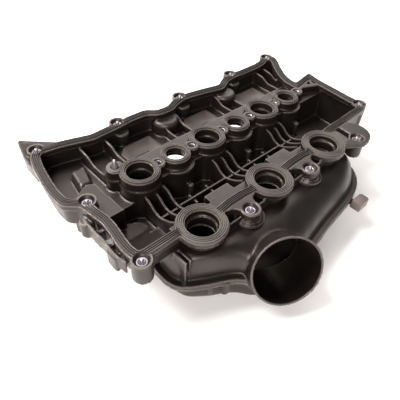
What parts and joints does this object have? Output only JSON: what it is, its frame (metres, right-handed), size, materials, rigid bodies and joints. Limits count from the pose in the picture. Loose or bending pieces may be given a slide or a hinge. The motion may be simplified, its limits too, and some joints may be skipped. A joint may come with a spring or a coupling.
{
  "type": "cam cover with intake manifold",
  "caption": "Plastic cam cover with a built-in intake plenum and round inlet duct, ribbed gaskets, well towers and captive bolts.",
  "frame": {"origin": "centre of the footprint, at the level the cover lies on with its gasket face up", "axes": "+X along the row of intake ports, +Z out of the gasket face, +Y from the ports towards the far rail"},
  "size_m": [0.3918, 0.3124, 0.096],
  "materials": {
    "nylon": "satin black glass-filled nylon",
    "rubber": "matt black moulded seal",
    "steel": "bright zinc"
  },
  "bodies": {
    "root": {"cover_shell": "nylon", "manifold_upper_shell": "nylon", "manifold_lower_shell": "nylon", "inlet_duct": "nylon", "perimeter_gasket": "rubber", "centre_gasket": "rubber", "bolt_sleeve_01": "steel", "bolt_sleeve_02": "steel", "bolt_sleeve_03": "steel", "bolt_sleeve_04": "steel", "bolt_sleeve_05": "steel", "bolt_sleeve_06": "steel", "bolt_sleeve_07": "steel", "bolt_sleeve_08": "steel", "bolt_sleeve_09": "steel", "bolt_sleeve_10": "steel", "bolt_sleeve_11": "steel", "centre_sleeve_1": "steel", "centre_sleeve_2": "steel", "centre_sleeve_3": "steel", "centre_sleeve_4": "steel", "centre_sleeve_5": "steel", "centre_sleeve_6": "steel", "dowel_pin": "steel", "baffle_plate_1": "nylon", "baffle_plate_2": "nylon", "baffle_plate_3": "nylon", "harness_clip": "nylon"},
    "bolt_01": {"captive_bolt_01": "steel"},
    "bolt_02": {"captive_bolt_02": "steel"},
    "bolt_03": {"captive_bolt_03": "steel"},
    "bolt_04": {"captive_bolt_04": "steel"},
    "bolt_05": {"captive_bolt_05": "steel"},
    "bolt_06": {"captive_bolt_06": "steel"},
    "bolt_07": {"captive_bolt_07": "steel"},
    "bolt_08": {"captive_bolt_08": "steel"},
    "bolt_09": {"captive_bolt_09": "steel"},
    "bolt_10": {"captive_bolt_10": "steel"},
    "bolt_11": {"captive_bolt_11": "steel"}
  },
  "joints": [
    {"name": "bolt_01_slide", "type": "slide", "parent": "root", "child": "bolt_01", "axis": [0, 0, 1], "range_m": [0, 0.0038]},
    {"name": "bolt_02_slide", "type": "slide", "parent": "root", "child": "bolt_02", "axis": [0, 0, 1], "range_m": [0, 0.0038]},
    {"name": "bolt_03_slide", "type": "slide", "parent": "root", "child": "bolt_03", "axis": [0, 0, 1], "range_m": [0, 0.0038]},
    {"name": "bolt_04_slide", "type": "slide", "parent": "root", "child": "bolt_04", "axis": [0, 0, 1], "range_m": [0, 0.0038]},
    {"name": "bolt_05_slide", "type": "slide", "parent": "root", "child": "bolt_05", "axis": [0, 0, 1], "range_m": [0, 0.0038]},
    {"name": "bolt_06_slide", "type": "slide", "parent": "root", "child": "bolt_06", "axis": [0, 0, 1], "range_m": [0, 0.0038]},
    {"name": "bolt_07_slide", "type": "slide", "parent": "root", "child": "bolt_07", "axis": [0, 0, 1], "range_m": [0, 0.0038]},
    {"name": "bolt_08_slide", "type": "slide", "parent": "root", "child": "bolt_08", "axis": [0, 0, 1], "range_m": [0, 0.0038]},
    {"name": "bolt_09_slide", "type": "slide", "parent": "root", "child": "bolt_09", "axis": [0, 0, 1], "range_m": [0, 0.0038]},
    {"name": "bolt_10_slide", "type": "slide", "parent": "root", "child": "bolt_10", "axis": [0, 0, 1], "range_m": [0, 0.0038]},
    {"name": "bolt_11_slide", "type": "slide", "parent": "root", "child": "bolt_11", "axis": [0, 0, 1], "range_m": [0, 0.0038]}
  ]
}
